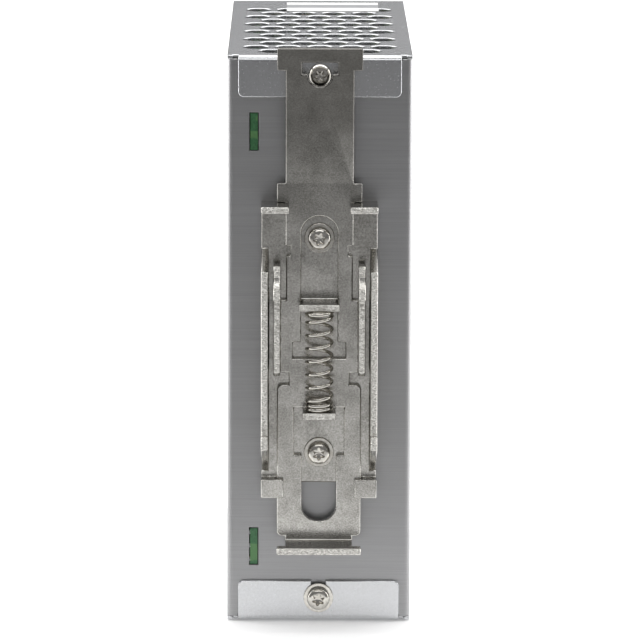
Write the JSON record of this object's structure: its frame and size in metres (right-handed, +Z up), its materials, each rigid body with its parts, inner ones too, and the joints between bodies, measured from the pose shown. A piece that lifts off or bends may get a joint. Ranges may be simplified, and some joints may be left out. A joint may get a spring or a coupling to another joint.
{
  "type": "din rail power supply",
  "caption": "Narrow sheet-metal power supply with a sprung rail clip on its back, vented top and bottom, and screw terminals with rising cages on its front.",
  "frame": {"origin": "on the surface the case stands on, under the middle of the overall box", "axes": "+Z up, -Y towards the terminals, +Y towards the rail, X across the narrow width"},
  "size_m": [0.04, 0.1248, 0.1274],
  "materials": {
    "case_steel": "brushed, zinc-plated sheet",
    "clip_nickel": "dull nickel plate on pressed steel",
    "bright_steel": "bright nickel plate",
    "board": "glass-epoxy board with green mask",
    "green_plastic": "moulded, fine grain",
    "black_plastic": "moulded",
    "label": "blank printed film",
    "copper": "tinned copper and enamelled wire",
    "brass": "turned",
    "alloy": "extruded",
    "ferrite": "sintered",
    "white_plastic": "moulded",
    "blue_plastic": "dipped resin",
    "lamp": "clear tinted lens",
    "film": "insulating film",
    "yellow_tape": "polyester tape"
  },
  "bodies": {
    "case": {"chassis": "case_steel", "cover": "case_steel", "case_screws": "bright_steel", "side_screws": "bright_steel", "top_label": "label", "front_label": "label", "case_washer": "bright_steel", "clip_base": "clip_nickel", "clip_spring": "bright_steel", "clip_screws": "bright_steel", "clip_washers": "bright_steel", "main_board": "board", "front_board": "board", "board_spacers": "brass", "insulation_sheet": "film", "output_block": "green_plastic", "output_contacts": "copper", "mains_block": "black_plastic", "mains_contacts": "copper", "status_lamp": "lamp", "trimmer_body": "blue_plastic", "mains_fuse": "black_plastic", "inrush_thermistor": "black_plastic", "surge_varistor": "blue_plastic", "mains_capacitor": "yellow_tape", "safety_capacitors": "blue_plastic", "line_choke_core": "ferrite", "line_choke_windings": "copper", "bridge_rectifier": "black_plastic", "bulk_capacitor": "black_plastic", "input_heatsink": "alloy", "switching_transistor": "black_plastic", "transformer_core": "ferrite", "transformer_bobbin": "black_plastic", "transformer_windings": "yellow_tape", "output_heatsink": "alloy", "output_rectifier": "black_plastic", "output_capacitors": "black_plastic", "output_choke_core": "ferrite", "output_choke_winding": "copper", "control_chips": "black_plastic", "optocouplers": "white_plastic"},
    "clip_slider": {"clip_slider": "clip_nickel"},
    "trimmer_rotor": {"trimmer_rotor": "white_plastic"},
    "output_screw_1": {"output_screw_1": "bright_steel"},
    "output_cage_1": {"output_cage_1": "clip_nickel"},
    "output_screw_2": {"output_screw_2": "bright_steel"},
    "output_cage_2": {"output_cage_2": "clip_nickel"},
    "output_screw_3": {"output_screw_3": "bright_steel"},
    "output_cage_3": {"output_cage_3": "clip_nickel"},
    "output_screw_4": {"output_screw_4": "bright_steel"},
    "output_cage_4": {"output_cage_4": "clip_nickel"},
    "mains_screw_1": {"mains_screw_1": "bright_steel"},
    "mains_cage_1": {"mains_cage_1": "clip_nickel"},
    "mains_screw_2": {"mains_screw_2": "bright_steel"},
    "mains_cage_2": {"mains_cage_2": "clip_nickel"},
    "mains_screw_3": {"mains_screw_3": "bright_steel"},
    "mains_cage_3": {"mains_cage_3": "clip_nickel"}
  },
  "joints": [
    {"name": "clip_release", "type": "slide", "parent": "case", "child": "clip_slider", "axis": [0, 0, 1], "range_m": [0, 0.007], "stiffness_N_per_m": 1500, "springref_m": -0.008, "deforming": ["clip_spring"]},
    {"name": "voltage_adjust", "type": "hinge", "parent": "case", "child": "trimmer_rotor", "pos_m": [-0.007, -0.05035, 0.0955], "axis": [0, 1, 0], "range_deg": [-135, 135]},
    {"name": "output_clamp_turn_1", "type": "hinge", "parent": "case", "child": "output_screw_1", "pos_m": [-0.01143, -0.06235, 0.1125], "axis": [0, 1, 0], "range_deg": [0, 1872]},
    {"name": "output_clamp_rise_1", "type": "slide", "parent": "case", "child": "output_cage_1", "axis": [0, -1, 0], "range_m": [0, 0.0026]},
    {"name": "output_clamp_turn_2", "type": "hinge", "parent": "case", "child": "output_screw_2", "pos_m": [-0.00381, -0.06235, 0.1125], "axis": [0, 1, 0], "range_deg": [0, 1872]},
    {"name": "output_clamp_rise_2", "type": "slide", "parent": "case", "child": "output_cage_2", "axis": [0, -1, 0], "range_m": [0, 0.0026]},
    {"name": "output_clamp_turn_3", "type": "hinge", "parent": "case", "child": "output_screw_3", "pos_m": [0.00381, -0.06235, 0.1125], "axis": [0, 1, 0], "range_deg": [0, 1872]},
    {"name": "output_clamp_rise_3", "type": "slide", "parent": "case", "child": "output_cage_3", "axis": [0, -1, 0], "range_m": [0, 0.0026]},
    {"name": "output_clamp_turn_4", "type": "hinge", "parent": "case", "child": "output_screw_4", "pos_m": [0.01143, -0.06235, 0.1125], "axis": [0, 1, 0], "range_deg": [0, 1872]},
    {"name": "output_clamp_rise_4", "type": "slide", "parent": "case", "child": "output_cage_4", "axis": [0, -1, 0], "range_m": [0, 0.0026]},
    {"name": "mains_clamp_turn_1", "type": "hinge", "parent": "case", "child": "mains_screw_1", "pos_m": [-0.0095, -0.06235, 0.0125], "axis": [0, 1, 0], "range_deg": [0, 1872]},
    {"name": "mains_clamp_rise_1", "type": "slide", "parent": "case", "child": "mains_cage_1", "axis": [0, -1, 0], "range_m": [0, 0.0026]},
    {"name": "mains_clamp_turn_2", "type": "hinge", "parent": "case", "child": "mains_screw_2", "pos_m": [0, -0.06235, 0.0125], "axis": [0, 1, 0], "range_deg": [0, 1872]},
    {"name": "mains_clamp_rise_2", "type": "slide", "parent": "case", "child": "mains_cage_2", "axis": [0, -1, 0], "range_m": [0, 0.0026]},
    {"name": "mains_clamp_turn_3", "type": "hinge", "parent": "case", "child": "mains_screw_3", "pos_m": [0.0095, -0.06235, 0.0125], "axis": [0, 1, 0], "range_deg": [0, 1872]},
    {"name": "mains_clamp_rise_3", "type": "slide", "parent": "case", "child": "mains_cage_3", "axis": [0, -1, 0], "range_m": [0, 0.0026]}
  ],
  "couplings": [
    {"joint": "output_clamp_turn_1", "follows": "output_clamp_rise_1", "rad_per_m": 12566},
    {"joint": "output_clamp_turn_2", "follows": "output_clamp_rise_2", "rad_per_m": 12566},
    {"joint": "output_clamp_turn_3", "follows": "output_clamp_rise_3", "rad_per_m": 12566},
    {"joint": "output_clamp_turn_4", "follows": "output_clamp_rise_4", "rad_per_m": 12566},
    {"joint": "mains_clamp_turn_1", "follows": "mains_clamp_rise_1", "rad_per_m": 12566},
    {"joint": "mains_clamp_turn_2", "follows": "mains_clamp_rise_2", "rad_per_m": 12566},
    {"joint": "mains_clamp_turn_3", "follows": "mains_clamp_rise_3", "rad_per_m": 12566}
  ]
}
